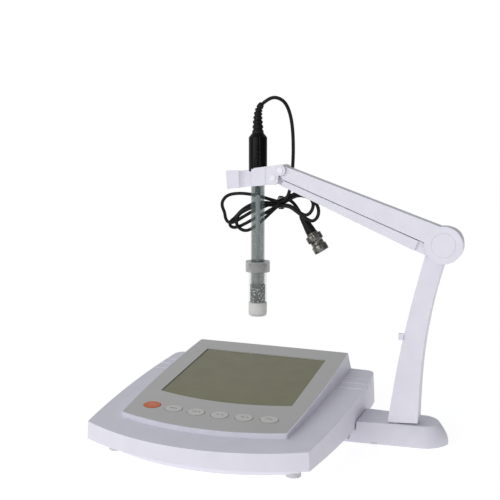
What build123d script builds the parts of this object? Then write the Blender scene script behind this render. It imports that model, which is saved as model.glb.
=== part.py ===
from build123d import *
import os
from math import atan2, cos, degrees, hypot, radians, sin, tan

os.makedirs("parts", exist_ok=True)

# A benchtop pH meter with its electrode stand. Millimetres.
# Working frame: the meter stands on z = 0 with its middle on x = y = 0, its keys towards -Y
# and the stand on its +X side. Everything is shifted to the part's own origin on export.

# ---- driving dimensions: housing ----
WALL = 2.4
SPLIT_Z = 11.9                      # bottom edge of the upper housing
FRONT_HALF, MID_HALF, REAR_HALF = 95.8, 105.3, 104.0
FRONT_CORNER_Y, FRONT_MID_Y = -89.5, -112.0
SIDE_MID_Y = 25.0
REAR_CORNER_Y = 97.6
FRONT_CORNER_R, REAR_CORNER_R = 1.0, 8.0
DRAFT = 1.4                         # how much narrower the housing is at the shoulder
SHOULDER_FRONT_Z = 26.5             # top surface height at the front corners
SHOULDER_SLOPE = 4.13               # degrees, rising to the rear
TRAY_BOTTOM_Z = 2.6
TRAY_TOP_INSET, TRAY_BOTTOM_INSET = 4.0, 13.5
FOOT_R, FOOT_X, FOOT_FRONT_Y, FOOT_REAR_Y = 6.0, 78.0, -73.5, 74.0

# ---- driving dimensions: display panel ----
PANEL_TILT = 7.53
PANEL_Y, PANEL_Z = -72.8, 32.4      # front corners of the panel
PANEL_FRONT_HALF, PANEL_MID_HALF, PANEL_REAR_HALF = 72.6, 77.9, 76.9
PANEL_LENGTH = 171.4
PANEL_FRONT_BULGE = 11.4
PANEL_T = 1.6
PANEL_LIP, PANEL_GAP = 0.9, 0.12    # the pod's rim round the panel, and the gap between them
POD_REAR_IN = 0.8                   # the pod's foot stops this far inside the housing's rear
POD_FOOT_OUT = 3.6                  # how far the pod's foot spreads at the rear
WINDOW_LEFT, WINDOW_RIGHT = -60.0, 61.0
WINDOW_FRONT, WINDOW_REAR, WINDOW_BULGE = 47.2, 149.0, 8.4
WINDOW_DEPTH = 0.8
LEDGE = 1.5
KEY_RX, KEY_RY, KEY_PITCH, KEY_ROW, KEY_ROW_SAG = 7.4, 5.8, 20.95, 18.6, 3.2
KEY_SHIFT = -1.2                    # the key row sits a little left of the middle
KEY_COUNT = 6
KEY_GAP = 0.4
KEY_PROUD = 0.3
BOARD_DEPTH, BOARD_T = 13.0, 1.6
SWITCH_H = 4.3

# ---- driving dimensions: stand ----
BASE_TOP_Z, BASE_BOTTOM_Z = 17.8, 0.8
BASE_LEFT_X, BASE_RIGHT_X = 94.6, 180.5
BASE_SHOULDER_X = 105.8             # left of this the base is low and reaches under the housing
SWIVEL_X, SWIVEL_Y, SHAFT_R = 143.8, 28.0, 5.0
COLUMN_FRONT_Y, COLUMN_REAR_Y = 20.5, 35.5
HUB_X, HUB_Z, HUB_R = 174.9, 173.1, 15.1
ARM_FRONT_Y, ARM_REAR_Y, ARM_WALL = 8.0, 20.0, 1.8
ARM_DX, ARM_DZ = -136.3, 58.0       # hub pivot to the head's upper pin
PIN_DX, PIN_DZ = -6.5, -6.6         # upper pin to lower pin, and hub pivot to link pivot
LINK_FRONT_Y, LINK_REAR_Y = 10.8, 17.2
HEAD_FRONT_Y, HEAD_REAR_Y = 5.0, 23.0
PIN_R = 1.6

# ---- driving dimensions: electrode ----
ELECTRODE_X, ELECTRODE_Y = 15.6, 14.0
TUBE_R, CAP_R, CAP_BOTTOM_Z, CAP_TOP_Z = 6.0, 7.9, 229.8, 262.0
TUBE_TIP_Z = 128.0
VIAL_R, VIAL_BOTTOM_Z = 8.3, 103.3
COLLAR_R, COLLAR_BOTTOM_Z, COLLAR_TOP_Z = 10.6, 142.6, 151.6
LIQUID_BOTTOM_Z, LIQUID_TOP_Z = 115.6, 130.7

# ---- driving dimensions: cable ----
CABLE_D = 3.0
SOCKET_REACH_Y = 110.2              # tip of the rear measuring socket

# Part origin: middle of the whole object's footprint, on the bench.
HOUSING_REACH = 105.5               # widest point of the bowed sides
ORIGIN_X = (HUB_X + HUB_R - HOUSING_REACH) / 2
ORIGIN_Y = (SOCKET_REACH_Y + FRONT_MID_Y) / 2

NODES = {}


def save(shape, name):
    """Write one subcomponent, or a list of like ones, in the part's own frame."""
    place = Pos(-ORIGIN_X, -ORIGIN_Y, 0)
    if isinstance(shape, list):
        moved = Compound(children=[place * piece for piece in shape])
    else:
        moved = place * shape
    export_step(moved, f"parts/{name}.step")
    NODES[name] = moved


def zcyl(x, y, r, z0, z1):
    """Upright cylinder."""
    return Pos(x, y, z0) * Cylinder(r, z1 - z0, align=(Align.CENTER, Align.CENTER, Align.MIN))


def ycyl(x, z, r, y0, y1):
    """Cylinder along Y."""
    place = Plane(origin=(x, y0, z), x_dir=(1, 0, 0), z_dir=(0, 1, 0))
    return place * Cylinder(r, y1 - y0, align=(Align.CENTER, Align.CENTER, Align.MIN))


def block(x0, x1, y0, y1, z0, z1):
    """Axis-aligned box between two corners."""
    return Pos((x0 + x1) / 2, (y0 + y1) / 2, (z0 + z1) / 2) * Box(x1 - x0, y1 - y0, z1 - z0)


def slab_xz(face_edges, y0, y1):
    """A closed outline drawn in x and z, made solid from y0 to y1."""
    place = Plane(origin=(0, y1, 0), x_dir=(1, 0, 0), z_dir=(0, -1, 0))
    return extrude(place * make_face(face_edges), amount=y1 - y0)


def poly_xz(points, y0, y1):
    """A polygon drawn in x and z, made solid from y0 to y1."""
    return slab_xz(Polyline(*points, close=True).edges(), y0, y1)


def arc_outline(front, mid, rear, y_front, y_front_mid, y_side, y_rear, y_rear_mid, r_front, r_rear):
    """A four-sided plan with bowed edges and rounded corners, as a face on XY."""
    edges = [
        ThreePointArc((-front, y_front), (0, y_front_mid), (front, y_front)),
        ThreePointArc((front, y_front), (mid, y_side), (rear, y_rear)),
        ThreePointArc((rear, y_rear), (0, y_rear_mid), (-rear, y_rear)),
        ThreePointArc((-rear, y_rear), (-mid, y_side), (-front, y_front)),
    ]
    face = make_face(edges)
    if r_front > 0:
        face = fillet(face.vertices().sort_by(Axis.Y)[:2], r_front)
    if r_rear > 0:
        face = fillet(face.vertices().sort_by(Axis.Y)[-2:], r_rear)
    return face


PANEL = Plane(
    origin=(0, PANEL_Y, PANEL_Z),
    x_dir=(1, 0, 0),
    z_dir=(0, -sin(radians(PANEL_TILT)), cos(radians(PANEL_TILT))),
)


def shoulder_plane(drop):
    """The housing's sloped top surface, lowered along its own normal."""
    normal = Vector(0, -sin(radians(SHOULDER_SLOPE)), cos(radians(SHOULDER_SLOPE)))
    return Plane(
        origin=Vector(0, FRONT_CORNER_Y, SHOULDER_FRONT_Z) - normal * drop,
        x_dir=(1, 0, 0),
        z_dir=normal,
    )


def above(plane):
    """Everything above a plane, as a big block."""
    return plane * Box(400, 500, 120, align=(Align.CENTER, Align.CENTER, Align.MIN))


def housing_plan(inset, rear_bulge):
    """Outline of the housing, moved in by inset."""
    return arc_outline(
        FRONT_HALF - inset,
        MID_HALF - inset,
        REAR_HALF - inset,
        FRONT_CORNER_Y + inset,
        FRONT_MID_Y + inset,
        SIDE_MID_Y,
        REAR_CORNER_Y - inset,
        REAR_CORNER_Y - inset + rear_bulge,
        FRONT_CORNER_R,
        REAR_CORNER_R,
    )


def panel_outline(inset):
    """Outline of the display panel in its own plane, moved in by inset."""
    return arc_outline(
        PANEL_FRONT_HALF - inset,
        PANEL_MID_HALF - inset,
        PANEL_REAR_HALF - inset,
        inset,
        inset - PANEL_FRONT_BULGE,
        PANEL_LENGTH * 0.56,
        PANEL_LENGTH - inset,
        PANEL_LENGTH - inset + 0.4,
        1.2,
        2.0,
    )


def shoulder_block(inset, z0, rear_bulge):
    """The low, wide part of the housing up to its sloped top."""
    low = Pos(0, 0, z0) * housing_plan(inset, rear_bulge)
    high = Pos(0, 0, 44) * housing_plan(inset + DRAFT, rear_bulge)
    return loft([low, high]) - above(shoulder_plane(inset))


def pod_block(inset, top_drop):
    """The raised pod that carries the display panel."""
    foot_plane = shoulder_plane(4.0 + inset)
    foot_rear = REAR_CORNER_Y - FRONT_CORNER_Y - POD_REAR_IN
    foot = foot_plane * arc_outline(
        PANEL_FRONT_HALF - 0.6 - inset,
        PANEL_MID_HALF + 0.4 - inset,
        PANEL_REAR_HALF + POD_FOOT_OUT + 1.0 - inset,
        17.2 + inset,
        17.2 + inset - PANEL_FRONT_BULGE,
        SIDE_MID_Y + 85.0,
        foot_rear - inset,
        foot_rear - inset + 0.4,
        1.2,
        2.0,
    )
    top = (PANEL * Pos(0, 0, -top_drop)) * panel_outline(inset)
    return loft([foot, top])


def window_outline(grow, depth0, depth1):
    """The display window's shape made solid between two depths under the panel face."""
    left = WINDOW_LEFT - grow
    right = WINDOW_RIGHT + grow
    front = WINDOW_FRONT - grow
    rear = WINDOW_REAR + grow
    edges = [
        ThreePointArc((left, front), ((left + right) / 2, front - WINDOW_BULGE), (right, front)),
        Line((right, front), (right, rear)),
        Line((right, rear), (left, rear)),
        Line((left, rear), (left, front)),
    ]
    return PANEL * Pos(0, 0, -depth1) * extrude(make_face(edges), amount=depth1 - depth0)


def key_place(index):
    """Middle of a key in the panel's plane; the row bows towards the user."""
    x = (index - (KEY_COUNT - 1) / 2) * KEY_PITCH
    reach = (KEY_COUNT - 1) / 2 * KEY_PITCH
    return x + KEY_SHIFT, KEY_ROW - KEY_ROW_SAG * (1 - (x / reach) ** 2)


def key_oval(index, grow, depth0, depth1):
    """An oval column at a key's place between two depths under the panel face."""
    x, v = key_place(index)
    oval = Ellipse(KEY_RX + grow, KEY_RY + grow)
    return PANEL * Pos(x, v, -depth1) * extrude(oval, amount=depth1 - depth0)


def on_panel(x, v, r, depth0, depth1):
    """A round column square to the panel."""
    return PANEL * Pos(x, v, -depth1) * Cylinder(
        r, depth1 - depth0, align=(Align.CENTER, Align.CENTER, Align.MIN)
    )


def panel_box(x0, x1, v0, v1, depth0, depth1):
    """A box lined up with the panel."""
    return PANEL * Pos((x0 + x1) / 2, (v0 + v1) / 2, -(depth0 + depth1) / 2) * Box(
        x1 - x0, v1 - v0, depth1 - depth0
    )


# ======== meter housing ========
POD_UNDER = PANEL_T + WALL
SCREW_X, SCREW_Y = (-84.0, 84.0), (-60.0, 60.0)
SCREW_PLACES = [(x, y) for x in SCREW_X for y in SCREW_Y]
SCREW_R, SCREW_BOSS_R, SCREW_HEAD_R = 1.5, 4.0, 2.9
BOSS_TOP_Z = 24.0
SOCKET_Z = 26.0
SOCKETS = {"bnc": (-44.0, 5.6), "temperature": (-8.0, 4.6), "power": (28.0, 5.1)}
REAR_PANEL = (-62.0, 46.0, 15.5, 36.5)
REAR_PANEL_Y, REAR_PANEL_T = 97.2, 1.2
RIBS_Y = (46.1, 59.1, 71.4)
RIB_R, RIB_BEND, RIB_FROM_X, RIB_DROP = 0.75, 1.5, 79.0, 4.5
RIB_SUNK = 0.15                     # how far a rib's middle lies inside the housing's side

outer = shoulder_block(0, SPLIT_Z, 2.4) + pod_block(0, 0)
inner = shoulder_block(WALL, SPLIT_Z - 1.0, 0.2) + pod_block(WALL, POD_UNDER)
upper_housing = outer - inner
for x, y in SCREW_PLACES:
    upper_housing += zcyl(x, y, SCREW_BOSS_R, SPLIT_Z, 60) & outer
    upper_housing -= zcyl(x, y, SCREW_R, SPLIT_Z - 1, BOSS_TOP_Z)
recess = panel_outline(PANEL_LIP)
upper_housing -= PANEL * Pos(0, 0, -PANEL_T) * extrude(recess, amount=PANEL_T + 1)
upper_housing -= window_outline(-LEDGE, 0.0, 8.0)
for index in range(KEY_COUNT):
    upper_housing -= key_oval(index, KEY_GAP, 0.0, 8.0)
upper_housing -= block(
    REAR_PANEL[0], REAR_PANEL[1], REAR_PANEL_Y, REAR_PANEL_Y + 10, REAR_PANEL[2], REAR_PANEL[3]
)
for x, r in SOCKETS.values():
    upper_housing -= ycyl(x, SOCKET_Z, r + 0.1, 80, REAR_PANEL_Y + 1)
for y in RIBS_Y:
    rib_z = SHOULDER_FRONT_Z + (y - FRONT_CORNER_Y) * tan(radians(SHOULDER_SLOPE)) + 0.1
    side_slice = outer & Pos(0, y, rib_z - RIB_DROP / 2) * Box(300, 0.2, 0.2)
    rib_to_x = side_slice.bounding_box().max.X - RIB_SUNK
    for side in (-1, 1):
        rib_route = [
            (side * RIB_FROM_X, y, rib_z),
            (side * rib_to_x, y, rib_z),
            (side * rib_to_x, y, rib_z - RIB_DROP),
        ]
        rib_path = FilletPolyline(*rib_route, radius=RIB_BEND)
        rib_start = Plane(origin=rib_route[0], z_dir=(side, 0, 0))
        upper_housing += sweep(rib_start * Circle(RIB_R), path=rib_path)
save(upper_housing, "upper_housing")

tray_top = Pos(0, 0, SPLIT_Z - 0.2) * housing_plan(TRAY_TOP_INSET, 0.2)
tray_bottom = Pos(0, 0, TRAY_BOTTOM_Z) * housing_plan(TRAY_BOTTOM_INSET, 0.2)
tray = loft([tray_bottom, tray_top])
tray_in_top = Pos(0, 0, SPLIT_Z + 0.3) * housing_plan(TRAY_TOP_INSET + WALL, 0.2)
tray_in_bottom = Pos(0, 0, TRAY_BOTTOM_Z + WALL) * housing_plan(TRAY_BOTTOM_INSET, 0.2)
rim_outer = Pos(0, 0, SPLIT_Z - 1.4) * extrude(housing_plan(WALL + 0.25, 0.2), amount=4.0)
rim_inner = Pos(0, 0, SPLIT_Z - 2.4) * extrude(housing_plan(2 * WALL + 0.4, 0.2), amount=8.0)
lower_housing = tray - loft([tray_in_bottom, tray_in_top])
lower_housing += rim_outer - rim_inner
for x, y in SCREW_PLACES:
    lower_housing += zcyl(x, y, SCREW_BOSS_R, TRAY_BOTTOM_Z + 1, SPLIT_Z - 0.1)
    lower_housing -= zcyl(x, y, SCREW_R + 0.2, 0, SPLIT_Z + 1)
    lower_housing -= zcyl(x, y, SCREW_HEAD_R + 0.2, 0, TRAY_BOTTOM_Z + 3.2)
FOOT_PLACES = [(x, y) for x in (-FOOT_X, FOOT_X) for y in (FOOT_FRONT_Y, FOOT_REAR_Y)]
for x, y in FOOT_PLACES:
    lower_housing -= zcyl(x, y, FOOT_R + 0.05, 0, TRAY_BOTTOM_Z + 1.0)
LINK_PLATE_HOLES = [(80.0, 20.0), (80.0, 40.0)]
for x, y in LINK_PLATE_HOLES:
    lower_housing += zcyl(x, y, SCREW_BOSS_R, TRAY_BOTTOM_Z + 1, SPLIT_Z - 2)
    lower_housing -= zcyl(x, y, SCREW_R, 0, SPLIT_Z - 3)
BOARD_POSTS = [(-60.0, 12.0), (60.0, 12.0), (-60.0, 158.0), (60.0, 158.0)]


def board_post(x, v, r, depth0, z_floor):
    """A post from the tray floor up to the main board, square to the board."""
    post = on_panel(x, v, r, depth0, 70)
    return post & block(-200, 200, -200, 200, z_floor, 100)


BOARD_UNDER = BOARD_DEPTH + BOARD_T
for x, v in BOARD_POSTS:
    lower_housing += board_post(x, v, 3.2, BOARD_UNDER, TRAY_BOTTOM_Z + 1)
    lower_housing -= on_panel(x, v, 1.2, BOARD_UNDER - 1, BOARD_UNDER + 6)
save(lower_housing, "lower_housing")

feet = [zcyl(x, y, FOOT_R, 0, TRAY_BOTTOM_Z + 1.0) for x, y in FOOT_PLACES]
save(feet, "rubber_feet")


def screw_up(x, y, head_r, head_z0, head_z1, shank_r, tip_z):
    """A screw driven upwards, head below, with a cross recess."""
    screw = zcyl(x, y, head_r, head_z0, head_z1) + zcyl(x, y, shank_r, head_z1, tip_z)
    slot = block(x - 1.4, x + 1.4, y - 0.35, y + 0.35, head_z0 - 1, head_z0 + 0.8)
    slot += block(x - 0.35, x + 0.35, y - 1.4, y + 1.4, head_z0 - 1, head_z0 + 0.8)
    return screw - slot


screws = [
    screw_up(x, y, SCREW_HEAD_R, TRAY_BOTTOM_Z + 1.0, TRAY_BOTTOM_Z + 3.2, SCREW_R - 0.05, BOSS_TOP_Z - 1)
    for x, y in SCREW_PLACES
]
save(screws, "housing_screws")

# ======== display panel, window, keys and electronics ========
display_panel = PANEL * Pos(0, 0, -PANEL_T) * extrude(panel_outline(PANEL_LIP + PANEL_GAP), amount=PANEL_T)
display_panel -= window_outline(0, -1.0, 3.0)
for index in range(KEY_COUNT):
    display_panel -= key_oval(index, KEY_GAP, -1.0, 3.0)
save(display_panel, "display_panel")

save(window_outline(-0.15, WINDOW_DEPTH, PANEL_T), "lcd_window")
GLASS_T, LIGHT_T = 2.6, 3.0
glass_top = POD_UNDER + 0.1
save(window_outline(0.8, glass_top, glass_top + GLASS_T), "lcd_glass")
light_top = glass_top + GLASS_T + 0.1
save(window_outline(0.8, light_top, light_top + LIGHT_T), "lcd_backlight")

board = panel_box(-70, 70, 3, 164, BOARD_DEPTH, BOARD_UNDER)
for x, v in BOARD_POSTS:
    board -= on_panel(x, v, 1.6, BOARD_DEPTH - 1, BOARD_UNDER + 1)
save(board, "main_board")

board_screws = []
for x, v in BOARD_POSTS:
    head = on_panel(x, v, 2.6, BOARD_DEPTH - 1.6, BOARD_DEPTH)
    board_screws.append(head + on_panel(x, v, 1.15, BOARD_DEPTH, BOARD_UNDER + 5))
save(board_screws, "board_screws")

CHIPS = [(-30, 60, 14, 10, 2.2), (10, 75, 18, 18, 1.8), (40, 110, 10, 8, 2.0), (-45, 120, 16, 12, 9.0)]
chips = [
    panel_box(x - w / 2, x + w / 2, v - d / 2, v + d / 2, BOARD_UNDER + 0.02, BOARD_UNDER + t)
    for x, v, w, d, t in CHIPS
]
save(chips, "board_components")

switches = []
for index in range(KEY_COUNT):
    x, v = key_place(index)
    body = panel_box(x - 3, x + 3, v - 3, v + 3, BOARD_DEPTH - 3.4, BOARD_DEPTH)
    switches.append(body + on_panel(x, v, 1.7, BOARD_DEPTH - SWITCH_H, BOARD_DEPTH - 3.4))
save(switches, "key_switches")

KEY_TRAVEL = 0.4
KEY_NAMES = ["key_power", "key_1", "key_2", "key_3", "key_4", "key_5"]
for index, name in enumerate(KEY_NAMES):
    x, v = key_place(index)
    key = key_oval(index, 0, -KEY_PROUD, POD_UNDER + 0.4)
    key += key_oval(index, 1.3, POD_UNDER + 0.3, POD_UNDER + 1.3)
    key += on_panel(x, v, 2.0, POD_UNDER + 1.3, BOARD_DEPTH - SWITCH_H - KEY_TRAVEL - 0.1)
    save(key, name)

# ======== rear sockets ========
rear_plate = block(
    REAR_PANEL[0] + 0.2,
    REAR_PANEL[1] - 0.2,
    REAR_PANEL_Y,
    REAR_PANEL_Y + REAR_PANEL_T,
    REAR_PANEL[2] + 0.2,
    REAR_PANEL[3] - 0.2,
)
for x, r in SOCKETS.values():
    rear_plate -= ycyl(x, SOCKET_Z, r + 0.1, 80, 110)
save(rear_plate, "rear_plate")

PLATE_OUT_Y = REAR_PANEL_Y + REAR_PANEL_T
INNER_WALL_Y = REAR_CORNER_Y - WALL
BNC_R, BNC_REACH = 4.8, 9.8
x, r = SOCKETS["bnc"]
hexagon = Plane(origin=(x, PLATE_OUT_Y, SOCKET_Z), x_dir=(1, 0, 0), z_dir=(0, 1, 0))
bnc = hexagon * extrude(RegularPolygon(7.4, 6), amount=2.0)
bnc += ycyl(x, SOCKET_Z, r, INNER_WALL_Y - 8, PLATE_OUT_Y)
bnc += ycyl(x, SOCKET_Z, BNC_R, PLATE_OUT_Y + 2.0, PLATE_OUT_Y + 2.0 + BNC_REACH)
bnc -= ycyl(x, SOCKET_Z, 3.6, PLATE_OUT_Y + 3.0, PLATE_OUT_Y + 20)
bnc += ycyl(x, SOCKET_Z, 0.9, PLATE_OUT_Y + 2.9, PLATE_OUT_Y + 8)
save(bnc, "measuring_socket")

nut_place = Plane(origin=(x, INNER_WALL_Y - 3.4, SOCKET_Z), x_dir=(1, 0, 0), z_dir=(0, 1, 0))
nut = nut_place * extrude(RegularPolygon(8.2, 6), amount=2.5)
nut -= ycyl(x, SOCKET_Z, r, 60, 120)
save(nut, "socket_nut")


def jack(name, flange_r, hole_r, pin_r):
    """A round panel jack with a blind hole and a centre pin."""
    px, body_r = SOCKETS[name]
    shape = ycyl(px, SOCKET_Z, flange_r, PLATE_OUT_Y, PLATE_OUT_Y + 1.5)
    shape += ycyl(px, SOCKET_Z, body_r, INNER_WALL_Y - 10, PLATE_OUT_Y)
    shape -= ycyl(px, SOCKET_Z, hole_r, INNER_WALL_Y - 7, PLATE_OUT_Y + 3)
    if pin_r > 0:
        shape += ycyl(px, SOCKET_Z, pin_r, INNER_WALL_Y - 7.5, PLATE_OUT_Y)
    save(shape, name + "_socket")


jack("temperature", 6.0, 1.6, 0)
jack("power", 6.2, 2.8, 1.0)

# ======== stand base ========


def base_plan(front_in, end_in, rear_in):
    """Plan of the stand base: straight front, round right end, straight rear."""
    left = BASE_LEFT_X
    right = BASE_RIGHT_X - end_in
    front_left = (left, 9.0 + front_in * 0.5)
    front_right = (158.0, 15.4 + front_in)
    rear_right = (160.0, 52.4 - rear_in)
    rear_left = (left, 52.8 - rear_in)
    edges = [
        Line(front_left, front_right),
        ThreePointArc(front_right, (172.0 - end_in * 0.45, 21.0 + front_in * 0.75), (right, 34.0)),
        ThreePointArc((right, 34.0), (174.2 - end_in * 0.6, 45.6 - rear_in), rear_right),
        Line(rear_right, rear_left),
        Line(rear_left, front_left),
    ]
    return make_face(edges)


base_outer = loft([
    Pos(0, 0, BASE_BOTTOM_Z) * base_plan(0, 0, 0),
    Pos(0, 0, BASE_BOTTOM_Z + 8) * base_plan(1.6, 1.2, 0.4),
    Pos(0, 0, BASE_TOP_Z) * base_plan(6.5, 8.0, 1.0),
])
housing_way = [
    (BASE_LEFT_X - 9, -1.0),
    (BASE_LEFT_X, -1.0),
    (BASE_LEFT_X, 1.8),
    (BASE_LEFT_X + 1.0, 2.9),
    (BASE_LEFT_X + 9.4, 11.4),
    (BASE_SHOULDER_X, 11.4),
    (BASE_SHOULDER_X, 30.0),
    (BASE_LEFT_X - 9, 30.0),
]
base_outer -= poly_xz(housing_way, -50, 100)
SLIT = [
    (99.4, 3.2),
    (100.3, 3.2),
    (101.0, 5.0),
    (101.2, 7.2),
    (101.9, 8.4),
    (101.0, 8.2),
    (100.3, 7.0),
    (100.1, 5.0),
]
base_outer -= poly_xz(SLIT, 5, 12)
BASE_WALL = 3.0
hollow_plan = Polyline((110, 17), (152, 21), (163, 28), (163, 40), (152, 48), (110, 48), close=True)
base_inner = Pos(0, 0, BASE_BOTTOM_Z - 1) * extrude(
    make_face(hollow_plan.edges()), amount=BASE_TOP_Z - BASE_BOTTOM_Z - BASE_WALL + 1
)
stand_base = base_outer - base_inner
stand_base += zcyl(SWIVEL_X, SWIVEL_Y, 9.0, 7.0, BASE_TOP_Z - 1)
stand_base -= zcyl(SWIVEL_X, SWIVEL_Y, SHAFT_R + 0.05, 0, 30)
LINK_PLATE = (66.0, 124.0, 12.0, 48.0)
PLATE_T = 2.0
PLATE_TOP_Z = TRAY_BOTTOM_Z
BASE_PLATE_HOLES = [(116.0, 22.0), (116.0, 43.0)]
for px, py in BASE_PLATE_HOLES:
    stand_base += zcyl(px, py, 4.2, PLATE_TOP_Z + 0.05, BASE_TOP_Z - 2)
    stand_base -= zcyl(px, py, SCREW_R, 0, 13)
PLATE_GAP = 0.4
stand_base -= block(
    90, LINK_PLATE[1] + PLATE_GAP, LINK_PLATE[2] - PLATE_GAP, LINK_PLATE[3] + PLATE_GAP, 0, PLATE_TOP_Z + 0.05
)
PAD_PLACES = [(170.5, 34.0), (159.0, 21.5), (159.0, 46.5)]
PAD_R = 3.0
pads = []
for px, py in PAD_PLACES:
    stand_base -= zcyl(px, py, PAD_R + 0.05, 0, BASE_BOTTOM_Z + 1.2)
    pads.append(zcyl(px, py, PAD_R, 0, BASE_BOTTOM_Z + 1.2))
save(stand_base, "stand_base")
save(pads, "base_pads")

link_plate = block(*LINK_PLATE, PLATE_TOP_Z - PLATE_T, PLATE_TOP_Z)
for px, py in LINK_PLATE_HOLES + BASE_PLATE_HOLES:
    link_plate -= zcyl(px, py, SCREW_R + 0.2, 0, 5)
save(link_plate, "link_plate")
plate_screws = []
for px, py in LINK_PLATE_HOLES + BASE_PLATE_HOLES:
    head = zcyl(px, py, 2.6, 0.1, PLATE_TOP_Z - PLATE_T)
    plate_screws.append(head + zcyl(px, py, SCREW_R - 0.05, 0.3, 8.2))
save(plate_screws, "plate_screws")

WEIGHT_Z, WEIGHT_T = 8.2, 5.0
weight_plan = Polyline((126, 19.5), (150, 22), (161, 29), (161, 39), (150, 46.5), (126, 46.5), close=True)
weight = Pos(0, 0, WEIGHT_Z) * extrude(make_face(weight_plan.edges()), amount=WEIGHT_T)
weight -= zcyl(SWIVEL_X, SWIVEL_Y, 9.4, 0, 30)
save(weight, "base_weight")

# ======== column ========
COLUMN_BOTTOM_LEFT = (131.1, 18.3)
COLUMN_BOTTOM_RIGHT = (156.4, 20.4)
left_edge = Spline(COLUMN_BOTTOM_LEFT, (135.0, 46.5), (139.6, 76.0), (146.2, 110.0), (158.3, 160.8))
right_edge = Spline((173.3, 155.3), (161.6, 101.0), (158.4, 73.0), (157.0, 46.0), COLUMN_BOTTOM_RIGHT)
column_edges = [
    left_edge,
    Line((158.3, 160.8), (173.3, 155.3)),
    right_edge,
    Line(COLUMN_BOTTOM_RIGHT, COLUMN_BOTTOM_LEFT),
]
column = slab_xz(column_edges, COLUMN_FRONT_Y, COLUMN_REAR_Y)
COLUMN_HUB_R = 13.0
column += ycyl(HUB_X, HUB_Z, COLUMN_HUB_R, COLUMN_FRONT_Y, COLUMN_REAR_Y)
column += poly_xz(
    [(158.3, 160.8), (162.2, 174.5), (HUB_X, HUB_Z), (HUB_X + 4, HUB_Z - 12.3), (173.3, 155.3)],
    COLUMN_FRONT_Y,
    COLUMN_REAR_Y,
)
SHAFT_TOP_Z = 44.0
column -= zcyl(SWIVEL_X, SWIVEL_Y, SHAFT_R + 0.02, 0, SHAFT_TOP_Z)
BOLT_R = 2.5
LINK_X, LINK_Z = HUB_X + PIN_DX, HUB_Z + PIN_DZ
column -= ycyl(HUB_X, HUB_Z, BOLT_R + 0.02, 0, 60)
column -= ycyl(LINK_X, LINK_Z, PIN_R + 0.02, 0, 60)
save(column, "column")

shaft = zcyl(SWIVEL_X, SWIVEL_Y, SHAFT_R, 4.4, SHAFT_TOP_Z - 0.2)
save(shaft, "swivel_shaft")
washer = zcyl(SWIVEL_X, SWIVEL_Y, 9.0, BASE_TOP_Z, BASE_TOP_Z + 0.5)
washer -= zcyl(SWIVEL_X, SWIVEL_Y, SHAFT_R + 0.1, 0, 30)
save(washer, "swivel_washer")
collar = zcyl(SWIVEL_X, SWIVEL_Y, 7.2, 4.4, 6.9) - zcyl(SWIVEL_X, SWIVEL_Y, SHAFT_R, 0, 30)
save(collar, "shaft_collar")
cable_clip = block(138.9, 143.0, COLUMN_FRONT_Y - 2.0, COLUMN_FRONT_Y, 91.0, 96.6)
save(cable_clip, "cable_clip")

# ======== arm ========
ARM_LENGTH = hypot(ARM_DX, ARM_DZ)
PIN_X, PIN_Z = HUB_X + ARM_DX, HUB_Z + ARM_DZ
LOW_X, LOW_Z = PIN_X + PIN_DX, PIN_Z + PIN_DZ
AXIS_X, AXIS_Z = -ARM_DX / ARM_LENGTH, -ARM_DZ / ARM_LENGTH
ACROSS_X, ACROSS_Z = -AXIS_Z, AXIS_X


def arm_point(along, across, x0=PIN_X, z0=PIN_Z):
    """A point measured from a head pin along the arm and square to it."""
    return (x0 + AXIS_X * along + ACROSS_X * across, z0 + AXIS_Z * along + ACROSS_Z * across)


ARM_TOP_LEFT, ARM_TOP_RIGHT = 3.9, 12.6
ARM_LOW_LEFT, ARM_LOW_RIGHT = -6.6, -4.2
HUB_REACH = ARM_LENGTH
arm_outline = [
    arm_point(0, ARM_TOP_LEFT),
    arm_point(HUB_REACH - 7.5, ARM_TOP_RIGHT),
    arm_point(HUB_REACH, 0),
    arm_point(HUB_REACH - 13, ARM_LOW_RIGHT),
    arm_point(4.4, ARM_LOW_LEFT),
    arm_point(0, -4.0),
]
ARM_LUG_R = 4.3
full_arm = poly_xz(arm_outline, ARM_FRONT_Y, ARM_REAR_Y)
full_arm += ycyl(PIN_X, PIN_Z, ARM_LUG_R, ARM_FRONT_Y, ARM_REAR_Y)
full_arm += ycyl(HUB_X, HUB_Z, HUB_R, ARM_FRONT_Y, ARM_REAR_Y)
channel = [
    arm_point(-8, ARM_TOP_LEFT - ARM_WALL - 0.5),
    arm_point(HUB_REACH - 16, ARM_TOP_RIGHT - ARM_WALL - 0.6),
    arm_point(HUB_REACH - 8, ARM_TOP_RIGHT - ARM_WALL - 4.0),
    arm_point(HUB_REACH - 8, -30),
    arm_point(-8, -30),
]
HUB_WALL = 1.6
HUB_PLATE_T = 3.6
upper_arm = full_arm - poly_xz(channel, ARM_FRONT_Y + ARM_WALL, ARM_REAR_Y - ARM_WALL)
upper_arm -= ycyl(HUB_X, HUB_Z, HUB_R - HUB_WALL, ARM_FRONT_Y + HUB_PLATE_T, ARM_REAR_Y + 1)
link_way = [
    arm_point(HUB_REACH - 22, -1.0),
    arm_point(HUB_REACH, -1.0),
    arm_point(HUB_REACH + 12, -9.0),
    arm_point(HUB_REACH + 4, -30),
    arm_point(HUB_REACH - 22, -30),
]
upper_arm -= poly_xz(link_way, ARM_FRONT_Y + HUB_PLATE_T - 1.2, ARM_REAR_Y + 1) & ycyl(
    HUB_X, HUB_Z, HUB_R + 8, 0, 30
)
SLEEVE_R = 4.0
upper_arm += ycyl(HUB_X, HUB_Z, SLEEVE_R, ARM_FRONT_Y + HUB_PLATE_T - 0.1, ARM_REAR_Y)
upper_arm -= ycyl(HUB_X, HUB_Z, BOLT_R + 0.05, 0, 30)
CAP_RECESS_R, CAP_RECESS = 9.6, 1.2
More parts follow.
